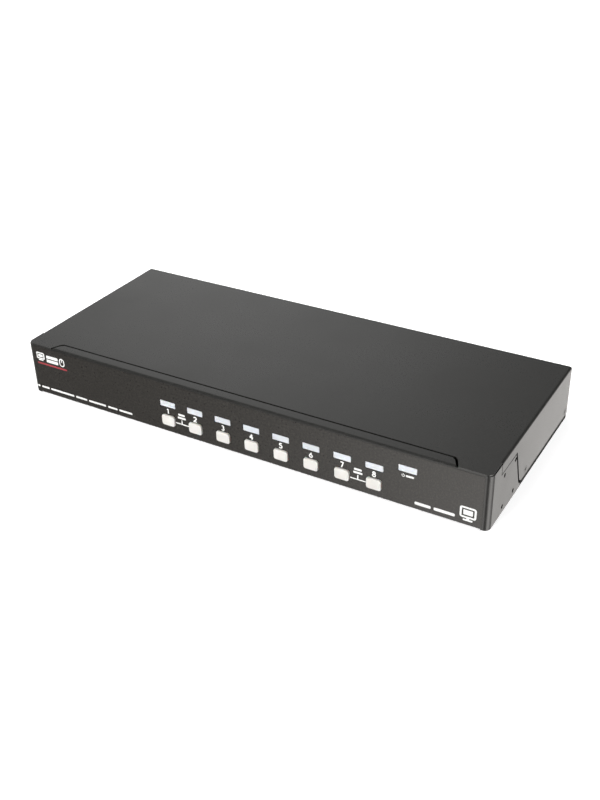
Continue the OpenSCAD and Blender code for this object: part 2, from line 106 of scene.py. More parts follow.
def arc(cx, cy, r, a0, a1, n=10):
    """Points on an arc from a0 to a1 degrees, both ends included."""
    angles = [math.radians(a0 + (a1 - a0) * k / n) for k in range(n + 1)]
    return [(cx + r * math.cos(a), cy + r * math.sin(a)) for a in angles]


def rounded(w, h, r, seg=6, cx=0.0, cy=0.0):
    """Outline of a rectangle with round corners, always 4 * (seg + 1) points."""
    r = max(r, 0.02)
    x, y = w / 2 - r, h / 2 - r
    pts = []
    for sx, sy, a in ((1, -1, -90), (1, 1, 0), (-1, 1, 90), (-1, -1, 180)):
        pts += arc(cx + sx * x, cy + sy * y, r, a, a + 90, seg)
    return pts


def circle(r, n, cx, cy, phase=0.0):
    angles = [math.tau * k / n + phase for k in range(n)]
    return [(cx + r * math.cos(a), cy + r * math.sin(a)) for a in angles]


def place(p, depth, axis):
    """A point of an outline, at a depth along an axis."""
    if axis == "x":
        return (depth, p[0], p[1])
    if axis == "y":
        return (p[0], depth, p[1])
    return (p[0], p[1], depth)


def loft(bm, rings, axis):
    """Closed skin through outlines with the same number of points. rings is [(outline, depth)]."""
    rows = [[bm.verts.new(place(p, d, axis)) for p in pts] for pts, d in rings]
    n = len(rows[0])
    made = []
    for a, b in zip(rows, rows[1:]):
        for k in range(n):
            made.append(bm.faces.new((a[k], a[(k + 1) % n], b[(k + 1) % n], b[k])))
    return made + [bm.faces.new(list(reversed(rows[0]))), bm.faces.new(rows[-1])]


def prism(bm, outline, axis, a, b):
    """An outline drawn out along an axis from a to b."""
    return loft(bm, [(outline, a), (outline, b)], axis)


def lathe(bm, profile, axis, at, n):
    """Turns a profile of (radius, depth) about an axis through at, two numbers across it."""
    return loft(bm, [(circle(r, n, *at), d) for r, d in profile], axis)


def eased_bar(bm, w, h, r, seg, at, stops):
    """A bar along Y with rounded corners. stops is [(depth, how far its outline is drawn in)]."""
    return loft(bm, [(rounded(w - 2 * e, h - 2 * e, r - e, seg, *at), y) for y, e in stops], "y")


def mesh_object(name, fill):
    """A new object from a function that fills a bmesh."""
    bm = bmesh.new()
    fill(bm)
    bmesh.ops.recalc_face_normals(bm, faces=bm.faces)
    mesh = bpy.data.meshes.new(name)
    bm.to_mesh(mesh)
    bm.free()
    obj = bpy.data.objects.new(name, mesh)
    scene.collection.objects.link(obj)
    return obj


def settle(obj):
    """Applies the object's modifiers."""
    graph = bpy.context.evaluated_depsgraph_get()
    mesh = bpy.data.meshes.new_from_object(obj.evaluated_get(graph), depsgraph=graph)
    old = obj.data
    obj.modifiers.clear()
    obj.data = mesh
    bpy.data.meshes.remove(old)
    return obj


def boolean(obj, operation, *fills):
    """Cuts, joins or intersects with shapes from functions that fill a bmesh."""
    for fill in fills:
        tool = mesh_object(f"{obj.name}_tool", fill)
        mod = obj.modifiers.new("boolean", "BOOLEAN")
        mod.operation, mod.solver, mod.object = operation, "EXACT", tool
        settle(obj)
        bpy.data.objects.remove(tool)
    return obj


def clean(obj):
    """Merges doubled points, and faces that lie in one plane."""
    doubled, flat = 1e-4, math.radians(0.2)
    bm = bmesh.new()
    bm.from_mesh(obj.data)
    bmesh.ops.remove_doubles(bm, verts=bm.verts, dist=doubled)
    bmesh.ops.dissolve_limit(bm, angle_limit=flat, verts=bm.verts, edges=bm.edges)
    bm.to_mesh(obj.data)
    bm.free()
    return obj


def bevel(obj, width, segments):
    """Rounds the edges that turn by more than 35 degrees."""
    mod = obj.modifiers.new("bevel", "BEVEL")
    mod.width, mod.segments = width, segments
    mod.limit_method, mod.angle_limit = "ANGLE", math.radians(35)
    mod.use_clamp_overlap = True
    return settle(obj)


def finish_piece(obj, body, materials, stands_for=(), angle=40):
    """Scales to metres, shades by angle, and puts the piece on its body."""
    obj.data.transform(Matrix.Scale(MM, 4))
    for p in obj.data.polygons:
        p.use_smooth = True
    obj.data.set_sharp_from_angle(angle=math.radians(angle))
    obj.data.materials.clear()
    for m in materials if isinstance(materials, (list, tuple)) else [materials]:
        obj.data.materials.append(m)
    normals = obj.modifiers.new("normals", "WEIGHTED_NORMAL")
    normals.keep_sharp = True
    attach(obj, body)
    if stands_for:
        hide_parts(*stands_for)


def tag(faces, index):
    """Gives faces a piece's first, second or third material."""
    for f in faces:
        f.material_index = index


# -------- materials


def new_material(name, **values):
    """A Principled material, constants set on the shader's own sockets."""
    mat = bpy.data.materials.new(name)
    mat.use_nodes = True
    shader = mat.node_tree.nodes["Principled BSDF"]
    for key, value in values.items():
        shader.inputs[key.replace("_", " ")].default_value = value
    coord = mat.node_tree.nodes.new("ShaderNodeTexCoord")
    return mat, mat.node_tree, shader, coord.outputs["Object"]


def noise(tree, vector, scale, detail=3.0, rough=0.55):
    """Noise in the object's own space; scale is in grains per metre."""
    node = tree.nodes.new("ShaderNodeTexNoise")
    node.inputs["Scale"].default_value = scale
    node.inputs["Detail"].default_value = detail
    node.inputs["Roughness"].default_value = rough
    tree.links.new(vector, node.inputs["Vector"])
    return node.outputs["Fac"]


def stretch(tree, vector, scale):
    """Coordinates scaled along each axis: below 1 draws a texture out."""
    node = tree.nodes.new("ShaderNodeMapping")
    node.inputs["Scale"].default_value = scale
    tree.links.new(vector, node.inputs["Vector"])
    return node.outputs["Vector"]


def ramp(tree, factor, stops):
    """Colour by factor. stops is [(position, colour)]."""
    node = tree.nodes.new("ShaderNodeValToRGB")
    elements = node.color_ramp.elements
    while len(elements) < len(stops):
        elements.new(0.5)
    for element, (place_at, color) in zip(elements, stops):
        element.position = place_at
        element.color = (*color, 1.0)
    tree.links.new(factor, node.inputs["Fac"])
    return node.outputs["Color"]


def remap(tree, value, low, high, to_low, to_high):
    """A value from low to high, mapped to another range and held at its ends."""
    node = tree.nodes.new("ShaderNodeMapRange")
    for key, number in {"From Min": low, "From Max": high, "To Min": to_low, "To Max": to_high}.items():
        node.inputs[key].default_value = number
    tree.links.new(value, node.inputs["Value"])
    return node.outputs["Result"]


def bump(tree, height, strength, distance, under=None):
    """A normal from a height; distance is in metres, and under is a normal that it adds to."""
    node = tree.nodes.new("ShaderNodeBump")
    node.inputs["Strength"].default_value = strength
    node.inputs["Distance"].default_value = distance
    tree.links.new(height, node.inputs["Height"])
    if under is not None:
        tree.links.new(under, node.inputs["Normal"])
    return node.outputs["Normal"]


def math_node(tree, operation, first, second):
    node = tree.nodes.new("ShaderNodeMath")
    node.operation = operation
    tree.links.new(first, node.inputs[0])
    tree.links.new(second, node.inputs[1])
    return node.outputs[0]


def shade(color, k):
    """A colour made darker or lighter."""
    return tuple(min(1.0, c * k) for c in color)


def surface(tree, shader, color, rough, normal):
    """Links the three sockets that every material here varies."""
    for socket, key in ((color, "Base Color"), (rough, "Roughness"), (normal, "Normal")):
        tree.links.new(socket, shader.inputs[key])


def velvet_film(name, color):
    """Polyester film with a fine velvet face."""
    mat, tree, shader, co = new_material(name, IOR=1.5)
    grain = noise(tree, co, 620, 3.0, 0.65)
    surface(
        tree, shader,
        ramp(tree, grain, [(0.34, shade(color, 0.62)), (0.5, color), (0.66, shade(color, 1.9))]),
        remap(tree, grain, 0.3, 0.7, 0.26, 0.4),
        bump(tree, grain, 0.36, 0.00012),
    )
    return mat


def powder_coat(name, color, rough, **values):
    """Fine-texture powder coat on sheet steel."""
    mat, tree, shader, co = new_material(name, IOR=1.5, **values)
    speck = noise(tree, co, 1500, 2.0, 0.6)
    cloud = noise(tree, co, 14, 2.0)
    peel = bump(tree, noise(tree, co, 900, 3.0, 0.6), 0.35, 0.00006)
    surface(
        tree, shader,
        ramp(tree, speck, [(0.32, shade(color, 0.72)), (0.56, color), (0.72, shade(color, 1.7))]),
        math_node(tree, "ADD", remap(tree, speck, 0.3, 0.7, -0.05, 0.05),
                  remap(tree, cloud, 0.3, 0.7, rough - 0.025, rough + 0.025)),
        bump(tree, noise(tree, co, 2600, 2.0), 0.245, 0.00003, peel),
    )
    return mat


def moulded(name, color, rough=0.45, grain=0.12, scale=1800, **values):
    """Moulded plastic with a fine spark-eroded surface."""
    mat, tree, shader, co = new_material(name, **values)
    tint = noise(tree, co, 60, 2.0)
    fine = noise(tree, co, scale, 2.0)
    surface(
        tree, shader,
        ramp(tree, tint, [(0.3, shade(color, 0.93)), (0.7, shade(color, 1.05))]),
        remap(tree, fine, 0.3, 0.7, rough - 0.05, rough + 0.05),
        bump(tree, fine, grain, 0.00003),
    )
    return mat


def metal(name, color, rough=0.3, drawn=(1, 1, 1), grain=0.1, **values):
    """Bare or plated metal, with fine marks along the way it was drawn."""
    mat, tree, shader, co = new_material(name, Metallic=1.0, **values)
    marks = noise(tree, stretch(tree, co, drawn), 900, 3.0, 0.6)
    cloud = noise(tree, co, 90, 2.0)
    surface(
        tree, shader,
        ramp(tree, cloud, [(0.3, shade(color, 0.86)), (0.7, color)]),
        remap(tree, marks, 0.3, 0.7, rough - 0.08, rough + 0.1),
        bump(tree, marks, grain, 0.00002),
    )
    return mat


def circuit_board(name, color, upright):
    """Solder mask over copper tracks, on a board that lies flat or stands upright."""
    mat, tree, shader, co = new_material(name, IOR=1.5)
    turned = stretch(tree, co, (1, 1, 1))
    if upright:
        turned.node.inputs["Rotation"].default_value = (math.radians(90), 0, 0)
    tracks = tree.nodes.new("ShaderNodeTexBrick")
    for key, number in {
        "Scale": 90.0, "Mortar Size": 0.06, "Brick Width": 0.9, "Row Height": 0.16, "Bias": -0.2,
    }.items():
        tracks.inputs[key].default_value = number
    tree.links.new(turned, tracks.inputs["Vector"])
    patches = noise(tree, co, 45, 2.0)
    copper = math_node(tree, "MULTIPLY", remap(tree, patches, 0.48, 0.52, 0.0, 1.0), tracks.outputs["Fac"])
    surface(
        tree, shader,
        ramp(tree, copper, [(0.0, color), (1.0, shade(color, 1.9))]),
        remap(tree, patches, 0.3, 0.7, 0.26, 0.36),
        bump(tree, copper, 0.3, 0.00004),
    )
    return mat


def ribbed(name, color):
    """Flat cable: one rib for each of its wires, with painted shade darkening the grooves between them."""
    mat, tree, shader, co = new_material(name)
    wave = tree.nodes.new("ShaderNodeTexWave")
    wave.bands_direction = "X"
    wave.inputs["Scale"].default_value = 250
    tree.links.new(co, wave.inputs["Vector"])
    ribs = wave.outputs["Fac"]
    surface(
        tree, shader,
        # painted shade: the colour darkens to 0.6 in the grooves between the ribs
        ramp(tree, ribs, [(0.0, shade(color, 0.6)), (0.5, color)]),
        remap(tree, noise(tree, co, 300), 0.3, 0.7, 0.42, 0.55),
        bump(tree, ribs, 0.5, 0.0002),
    )
    return mat


BLACK = (0.0205, 0.0202, 0.0190)
coat = powder_coat("case_powder_coat", BLACK, rough=0.32)
# the tray's coat is the case's black darkened to 0.6: painted shade on the hems under the skirts
tray_painted_shade_coat = powder_coat("tray_powder_coat_painted_shade", shade(BLACK, 0.6), rough=0.55, Specular_IOR_Level=0.02)
film_black = velvet_film("film_black", (0.0172, 0.0152, 0.0128))
screw_black = metal("screw_black_zinc", (0.13, 0.13, 0.13), rough=0.4)
ink = moulded("printed_white", (0.86, 0.86, 0.84), rough=0.55, grain=0.05)
ink_red = moulded("printed_red", (0.33, 0.03, 0.04), rough=0.5, grain=0.05)
ivory = moulded("button_ivory", (0.745, 0.70, 0.66), rough=0.42, Subsurface_Weight=0.08)
milky = moulded(
    "lens_milky", (0.745, 0.705, 0.71), rough=0.2, grain=0.03, Subsurface_Weight=0.2, Coat_Weight=0.3
)
black_plastic = moulded("moulding_black", (0.022, 0.022, 0.023), rough=0.42)
switch_plastic = moulded("switch_black", (0.018, 0.018, 0.018), rough=0.5)
amber = moulded("led_amber", (0.85, 0.45, 0.12), rough=0.12, grain=0.02, Transmission_Weight=0.5)
board_flat = circuit_board("board_green_flat", (0.012, 0.13, 0.05), upright=False)
board_upright = circuit_board("board_green_upright", (0.012, 0.13, 0.05), upright=True)
steel = metal("fastener_zinc", (0.62, 0.62, 0.6))
nickel = metal("connector_nickel", (0.70, 0.67, 0.62), rough=0.26, drawn=(1, 0.15, 1))
jack_nickel = metal("jack_screw_nickel", (0.70, 0.68, 0.63), rough=0.24)
gold = metal("contact_gold", (0.85, 0.6, 0.25), rough=0.25)
aluminium = metal("heat_sink_aluminium", (0.62, 0.63, 0.65), rough=0.34, drawn=(1, 0.05, 1), grain=0.2)
chip = moulded("chip_epoxy", (0.024, 0.024, 0.024), rough=0.6, grain=0.3, scale=2400)
sleeve = moulded("capacitor_sleeve", (0.03, 0.05, 0.2), rough=0.2, grain=0.04)
cable_grey = ribbed("cable_grey", (0.42, 0.43, 0.45))
port_blue = moulded("insulator_blue", (0.02, 0.07, 0.3), rough=0.38)
socket_white = moulded("tongue_white", (0.75, 0.75, 0.73), rough=0.4)

# -------- outlines shared by the case parts


def skirt_outline(gap, gap_under_lip, beyond):
    """Side view (y, z) of a skirt and its lip, grown by the gap that a neighbour leaves."""
    cy = SKIRT_Y + SKIRT_R * (1 - math.sin(SKIRT_LEAN)) / math.cos(SKIRT_LEAN)
    cz = SKIRT_Z + SKIRT_R
    r = SKIRT_R + gap
    under = LIP_Z - gap_under_lip
    ey, ez = cy - r * math.cos(SKIRT_LEAN), cz - r * math.sin(SKIRT_LEAN)
    front = LIP_Y - gap_under_lip - (beyond if gap == 0 else 0)
    return [
        (REAR + beyond, SKIRT_Z - gap), (REAR + beyond, TOP + beyond), (front, TOP + beyond), (front, under),
        (ey - (under - ez) * math.tan(SKIRT_LEAN), under),
    ] + arc(cy, cz, r, 180 + math.degrees(SKIRT_LEAN), 270, 14)


def flange_plan(gap, y0):
    """Plan (x, y) of the panel's top flange from y0 back, grown by a gap; its rear corners are cut."""
    front, back = FLANGE_HALF + gap, FRONT + FLANGE_D + gap
    right = [
        (front, y0), (front, FRONT), (front - FLANGE_TAPER * 0.6, back - 2.2),
        (front - FLANGE_TAPER, back),
    ]
    return right + [(-x, y) for x, y in reversed(right)]


def block_fill(low, high):
    """A function that fills a bmesh with a plain block."""
    (x0, y0, z0), (x1, y1, z1) = low, high
    return lambda bm: prism(bm, [(x0, y0), (x1, y0), (x1, y1), (x0, y1)], "z", z0, z1)


def side_holes(bm, r, at, inner, outer, n):
    """The same hole through both sides of the case."""
    for side in (-1, 1):
        a, b = sorted((side * inner, side * outer))
        lathe(bm, [(r, a), (r, b)], "x", at, n)


def ear_holes(bm):
    for y in EAR_Y:
        for z in EAR_Z:
            side_holes(bm, EAR_HOLE_R, (y, z), HALF_W - 8, HALF_W + 2, 24)


def countersinks(bm):
    """The cover's screw holes, sunk from outside."""
    for y in COVER_SCREW_Y:
        for side in (-1, 1):
            lathe(bm, [(SINK_R, side * (HALF_W + 0.2)), (SINK_R - 0.2, side * HALF_W),
                       (SCREW_HOLE_R, side * (HALF_W - SHEET)), (SCREW_HOLE_R, side * (HALF_W - 4))],
                  "x", (y, COVER_SCREW_Z), 28)


# -------- front panel


def panel_middle(bm):
    cy, low, high = FRONT + BEND_R, BEND_R, TOP - BEND_R
    r = BEND_R - SHEET
    outline = (
        [(FRONT + FOOT_D, 0.0)] + arc(cy, low, BEND_R, 270, 180) + arc(cy, high, BEND_R, 180, 90)
        + [(FRONT + FLANGE_D, TOP), (FRONT + FLANGE_D, PLATE)]
        + arc(cy, high, r, 90, 180) + arc(cy, low, r, 180, 270) + [(FRONT + FOOT_D, SHEET)]
    )
    prism(bm, outline, "x", -FOOT_HALF, FOOT_HALF)


def panel_top_waste(bm):
    """What the top flange leaves open each side, over the panel's face."""
    back = FRONT + FLANGE_D + 1
    for side in (-1, 1):
        pts = [(side * x, y) for x, y in flange_plan(0, FRONT - 1)[:4]]
        pts = pts + [(side * (FLANGE_HALF - FLANGE_TAPER), back), (side * (FOOT_HALF + 1), back),
                     (side * (FOOT_HALF + 1), FRONT - 1)]
        prism(bm, pts, "z", WING_TOP, TOP + 1)


def panel_corner(side):
    def fill(bm):
        c, cy, end = HALF_W - WRAP_R, FRONT + WRAP_R, SKIRT_Y + WING_TONGUE
        rings = []
        for inset, z in ((0.5, 0.0), (0.15, 0.15), (0.0, 0.5), (0.0, WING_TOP)):
            pts = (
                [(FOOT_HALF, FRONT + inset)] + arc(c, cy, WRAP_R - inset, -90, 0, 16)
                + [(HALF_W - inset, end), (INNER, end)]
                + arc(c, cy, WRAP_R - SHEET, 0, -90, 16) + [(FOOT_HALF, PANEL_BACK)]
            )
            rings.append(([(side * x, y) for x, y in pts], z))
        loft(bm, rings, "z")
    return fill


def panel_openings(bm):
    def window(x, z):
        play = WINDOW_PLAY
        return rounded(WINDOW_W + play, WINDOW_H + play, WINDOW_R + play / 2, 4, x, z)

    for _, x, z in BUTTONS:
        play = BUTTON_PLAY
        button = rounded(BUTTON_W + play, BUTTON_H + play, BUTTON_R + play / 2, 6, x, z)
        for outline in (button, window(x, WINDOW_Z)):
            prism(bm, outline, "y", FRONT - 1, PANEL_BACK + 1)
    prism(bm, window(POWER_X, POWER_Z), "y", FRONT - 1, PANEL_BACK + 1)


def panel_countersinks(bm):
    for x in PANEL_SCREW_X:
        lathe(bm, [(SINK_R, -0.2), (SINK_R - 0.2, 0.0), (SCREW_HOLE_R, SHEET), (SCREW_HOLE_R, SHEET + 2)],
              "z", (x, PANEL_SCREW_Y), 28)


panel = mesh_object("front_panel_sheet", panel_middle)
boolean(panel, "DIFFERENCE", panel_top_waste)
boolean(panel, "UNION", panel_corner(1), panel_corner(-1))
boolean(
    panel, "DIFFERENCE",
    lambda bm: prism(bm, skirt_outline(SKIRT_GAP, LIP_GAP, 2.0), "x", -HALF_W - 2, HALF_W + 2),
    panel_openings, ear_holes, panel_countersinks,
)
clean(panel)
bevel(panel, 0.16, 3)
finish_piece(panel, "case", coat, ["front_panel"])

# -------- printed film on the front


def film_sheet(bm):
    prism(bm, rounded(2 * FILM_HALF, FILM_Z[1] - FILM_Z[0], 1.2, 5, 0, (FILM_Z[0] + FILM_Z[1]) / 2),
          "y", FRONT - FILM_T, FRONT)


film = boolean(mesh_object("front_film_sheet", film_sheet), "DIFFERENCE", panel_openings)
bevel(clean(film), 0.06, 2)
finish_piece(film, "case", film_black, ["front_film"])

# -------- cover


def cover_shell(bm):
    c, high, r = HALF_W - BEND_R, TOP - BEND_R, BEND_R - SHEET
    outline = (
        [(HALF_W, SKIRT_Z - 4)] + arc(c, high, BEND_R, 0, 90) + arc(-c, high, BEND_R, 90, 180)
        + [(-HALF_W, SKIRT_Z - 4), (-INNER, SKIRT_Z - 4)]
        + arc(-c, high, r, 180, 90) + arc(c, high, r, 90, 0) + [(INNER, SKIRT_Z - 4)]
    )
    prism(bm, outline, "y", LIP_Y, REAR)


def cover_front(bm):
    edge = HALF_W - PLATE_INSET
    c, cy = edge - PLATE_R, FRONT + PLATE_R
    pts = (
        [(-edge, LIP_Y)] + arc(-c, cy, PLATE_R, 180, 270, 14) + arc(c, cy, PLATE_R, 270, 360, 14)
        + [(edge, LIP_Y)]
    )
    prism(bm, pts, "z", PLATE, TOP)


cover = mesh_object("top_cover_sheet", cover_shell)
boolean(cover, "INTERSECT",
        lambda bm: prism(bm, skirt_outline(0, 0, 2.0), "x", -HALF_W - 1, HALF_W + 1))
boolean(cover, "UNION", cover_front)
boolean(cover, "DIFFERENCE",
        lambda bm: prism(bm, flange_plan(FLANGE_GAP, FRONT - 2), "z", PLATE - 1, TOP + 1),
        countersinks)
clean(cover)
bevel(cover, 0.16, 3)
finish_piece(cover, "case", coat, ["top_cover"])

# -------- tray with the rear panel

VIDEO_PORTS = [f"pc_port_{i}" for i in range(1, 9)] + ["console_port"]
VIDEO_X = [middle_xz(name)[0] for name in VIDEO_PORTS]
VIDEO_Z = 15.7
D_WIDTH, D_HEIGHT, D_R, D_LEAN = 16.9, 8.4, 1.7, math.radians(10)
JACK_PITCH, JACK_HOLE_R, INLET_HOLE_R = 25.0, 1.6, 4.8
SHELL_OUT = REAR + 5.9
usb_low, usb_high = box_mm("usb_ports")
USB_X, USB_Z = middle_xz("usb_ports")
jack_low, jack_high = box_mm("dc_jack")
JACK_X, JACK_Z = middle_xz("dc_jack")[0], 15.6


def d_outline(grow, cx, cz):
    """A D-sub's outline: wide at the top, sides leaning in, round corners."""
    seg = 5
    w, h = D_WIDTH / 2 + grow, D_HEIGHT / 2 + grow
    lean = 2 * h * math.tan(D_LEAN)
    corners = [(w, h), (-w, h), (lean - w, -h), (w - lean, -h)]
    pts = []
    for k, c in enumerate(corners):
        p, n = Vector(corners[k - 1]), Vector(corners[(k + 1) % 4])
        c = Vector(c)
        u, v = (p - c).normalized(), (n - c).normalized()
        half = u.angle(v) / 2
        rr = max(0.3, D_R + grow)
        centre = c + (u + v).normalized() * (rr / math.sin(half))
        a = c + u * (rr / math.tan(half)) - centre
        b = c + v * (rr / math.tan(half)) - centre
        a0, a1 = math.atan2(a.y, a.x), math.atan2(b.y, b.x)
        while a1 < a0:
            a1 += math.tau
        pts += [
            (cx + centre.x + rr * math.cos(a0 + (a1 - a0) * s / seg),
             cz + centre.y + rr * math.sin(a0 + (a1 - a0) * s / seg))
            for s in range(seg + 1)
        ]
    return pts


def tray_shell(bm):
    c, r = INNER - BEND_R, BEND_R - SHEET
    outline = (
        [(-INNER, PLATE)] + arc(-c, BEND_R, BEND_R, 180, 270) + arc(c, BEND_R, BEND_R, 270, 360)
        + [(INNER, PLATE), (INNER - SHEET, PLATE)]
        + arc(c, BEND_R, r, 360, 270) + arc(-c, BEND_R, r, 270, 180) + [(SHEET - INNER, PLATE)]
    )
    prism(bm, outline, "y", FRONT + WRAP_R + 0.1, REAR - SHEET)


def tray_rear(bm):
    """Rear wall, bent up from the floor, with a short flange along its top."""
    r = BEND_R - SHEET
    outline = (
        [(REAR - 6, 0.0)] + arc(REAR - BEND_R, BEND_R, BEND_R, 270, 360)
        + arc(REAR - BEND_R, PLATE - BEND_R, BEND_R, 0, 90) + [(REAR - 11, PLATE), (REAR - 11, PLATE - SHEET)]
        + arc(REAR - BEND_R, PLATE - BEND_R, r, 90, 0) + arc(REAR - BEND_R, BEND_R, r, 360, 270)
        + [(REAR - 6, SHEET)]
    )
    prism(bm, outline, "x", -INNER + BEND_R, INNER - BEND_R)


def tray_rear_sides(bm):
    for side in (-1, 1):
        a, b = sorted((side * (INNER - BEND_R), side * INNER))
        block_fill((a, REAR - SHEET, BEND_R), (b, REAR - 0.2, PLATE))(bm)


def hems(bm):
    """Strip under each skirt, out almost to the skirt's face, with round long edges."""
    high, out, deep, r = SKIRT_Z - HEM_GAP, INNER + HEM_OUT, INNER - SHEET, 0.35
    outline = (
        [(deep, 0.0)] + arc(out - r, r, r, 270, 360, 6) + arc(out - 0.3, high - 0.3, 0.3, 0, 90, 3)
        + [(deep, high)]
    )
    for side in (-1, 1):
        prism(bm, [(side * x, z) for x, z in outline], "y", SKIRT_Y + WING_TONGUE + HEM_GAP, REAR - 0.1)


def tray_cuts(bm):
    for x in VIDEO_X:
        prism(bm, d_outline(0.3, x, VIDEO_Z), "y", REAR - 3, REAR + 1)
        for side in (-0.5, 0.5):
            lathe(bm, [(JACK_HOLE_R, REAR - 3), (JACK_HOLE_R, REAR + 1)], "y",
                  (x + side * JACK_PITCH, VIDEO_Z), 20)
    prism(bm, rounded(13.8, 16.2, 0.4, 3, USB_X, USB_Z), "y", REAR - 3, REAR + 1)
    lathe(bm, [(INLET_HOLE_R, REAR - 3), (INLET_HOLE_R, REAR + 1)], "y", (JACK_X, JACK_Z), 32)
    for x in PANEL_SCREW_X:
        lathe(bm, [(SCREW_HOLE_R, -1.0), (SCREW_HOLE_R, 4.0)], "z", (x, PANEL_SCREW_Y), 20)
    for y in COVER_SCREW_Y:
        side_holes(bm, SCREW_HOLE_R, (y, COVER_SCREW_Z), INNER - 3, INNER + 1, 20)


# the floor ends behind the panel's foot, and a raised strip laps over it
floor_end = block_fill((3 - INNER, -100, -1), (INNER - 3, FRONT + FOOT_D + 0.4, SHEET + 1))
lap = block_fill((1 - FOOT_HALF, FRONT + 5, SHEET), (FOOT_HALF - 1, FRONT + FOOT_D + 1.9, 2 * SHEET))
tray = mesh_object("bottom_tray_sheet", tray_shell)
boolean(tray, "DIFFERENCE", floor_end)
boolean(tray, "UNION", tray_rear, tray_rear_sides, hems, lap)
boolean(tray, "DIFFERENCE", tray_cuts, ear_holes)
clean(tray)
bevel(tray, 0.14, 2)
finish_piece(tray, "case", [tray_painted_shade_coat, coat], ["bottom_tray"])
# only the rear wall has the case's own coat; the rest, hems included, has the coat darkened as painted shade
# under the skirts
for p in tray.data.polygons:
    p.material_index = 1 if p.center.y > (REAR - 2.5) * MM else 0

# -------- buttons

BUTTON_FRONT = box_mm("button_1")[0][1]
COLLAR = (PANEL_BACK + 0.3, PANEL_BACK + 1.5)
BOSS_END = box_mm("button_1")[1][1]


def button_fill(x, z):
    crown, edge = 0.10, 0.55

    def ring(grow_w, grow_h, grow_r, y):
        return (rounded(BUTTON_W + grow_w, BUTTON_H + grow_h, max(BUTTON_R + grow_r, 0.12), 8, x, z), y)

    def boss(size, r, y):
        return (rounded(size, size, r, 8, x, z), y)

    def fill(bm):
        # crowned face from its middle out, then its rounded edge
        rings = []
        for inset in (4.2, 3.4, 2.4, 1.5, 0.9, 0.62):
            rings.append(ring(-2 * inset, -2 * inset, -inset, BUTTON_FRONT + crown * (1 - inset / 4.4) ** 2))
        for a in range(0, 91, 15):
            s, c = math.sin(math.radians(a)), math.cos(math.radians(a))
            inset = edge * (1 - s)
            rings.append(ring(-2 * inset, -2 * inset, -inset, BUTTON_FRONT + crown + edge * (1 - c)))
        # the collar behind the panel, and the boss that takes the plunger
        rings += [
            ring(0, 0, 0, COLLAR[0]), ring(2.2, 1.8, 0.5, COLLAR[0]),
            ring(2.4, 2.0, 0.6, COLLAR[0] + 0.1), ring(2.4, 2.0, 0.6, COLLAR[1] - 0.1),
            ring(2.2, 1.8, 0.5, COLLAR[1]),
            boss(6.2, 0.9, COLLAR[1]), boss(6.0, 0.8, COLLAR[1] + 0.15),
            boss(6.0, 0.8, BOSS_END - 0.15), boss(5.7, 0.65, BOSS_END),
        ]
        n, start = len(rings[0][0]), -math.pi / 4
        rings += [(circle(r, n, x, z, start), BOSS_END - d) for r, d in ((1.75, 0), (1.7, 0.1), (1.7, 2.4))]
        loft(bm, rings, "y")
    return fill


for i, x, z in BUTTONS:
    cap = mesh_object(f"button_cap_{i}", button_fill(x, z))
    finish_piece(cap, f"button_{i}", ivory, [f"button_{i}"], angle=50)

# -------- windows


def window_strip(pads, middle, width, peg_offsets):
    """Light pads on one bar behind the panel, with pegs into the front board."""
    edge, bar_h, bar_t, peg_r = 0.3, 8.4, 1.5, 1.2

    def fill(bm):
        for x, z in pads:
            stops = [(PANEL_BACK + 0.2, 0)]
            for a in range(0, 91, 22):
                s, c = math.sin(math.radians(a)), math.cos(math.radians(a))
                stops.append((FRONT + edge * (1 - s) + 0.02, edge * (1 - c)))
            eased_bar(bm, WINDOW_W, WINDOW_H, WINDOW_R, 4, (x, z), stops)
        near, far, end = PANEL_BACK, PANEL_BACK + bar_t, window_high[1]
        eased_bar(bm, width, bar_h, 1, 4, middle,
                  [(near + 0.01, 0.1), (near + 0.11, 0), (far - 0.1, 0), (far, 0.1)])
        for dx in peg_offsets:
            lathe(bm, [(peg_r, far - 0.1), (peg_r, end - 0.3), (peg_r - 0.3, end)], "y",
                  (middle[0] + dx, middle[1]), 20)
    return fill


half_row = (BUTTONS[7][1] - BUTTONS[0][1]) / 2
strip = mesh_object("port_window_strip", window_strip(
    [(x, WINDOW_Z) for _, x, z in BUTTONS], (BUTTONS[0][1] + half_row, WINDOW_Z),
    window_high[0] - window_low[0], (-half_row - 10.5, 0, half_row + 10.5)))
finish_piece(strip, "case", milky, ["port_windows"], angle=50)
power_at = (POWER_X, POWER_Z)
power = mesh_object("power_window_lens", window_strip([power_at], power_at, 20, (-8, 8)))
finish_piece(power, "case", milky, ["power_window"], angle=50)

# -------- screws


def recess_arm(bm, axis, at, face, inward, turn):
    """One arm of a cross-shaped driver recess, tapering inwards."""
    rings = []
    for reach, half, d in ((1.5, 0.32, -0.2), (1.5, 0.32, 0.0), (0.63, 0.22, 1.1)):
        a, b = (half, reach) if turn else (reach, half)
        pts = [(at[0] + sx * a, at[1] + sy * b) for sx, sy in ((-1, -1), (1, -1), (1, 1), (-1, 1))]
        rings.append((pts, face + inward * d))
    loft(bm, rings, axis)


def flat_screws(name, where, length):
    """Countersunk screws. where is [(axis, at, face, inward)]."""
    def bodies(bm):
        for axis, at, face, s in where:
            lathe(bm, [(2.5, face + s * 0.02), (2.62, face + s * 0.06), (1.5, face + s * 1.15),
                       (1.45, face + s * 1.3), (1.45, face + s * (length - 0.4)),
                       (1.1, face + s * length)], axis, at, 32)

    def recesses(turn):
        def fill(bm):
            for axis, at, face, s in where:
                recess_arm(bm, axis, at, face, s, turn)
        return fill

    obj = mesh_object(name, bodies)
    boolean(obj, "DIFFERENCE", recesses(0), recesses(1))
    return bevel(clean(obj), 0.05, 1)


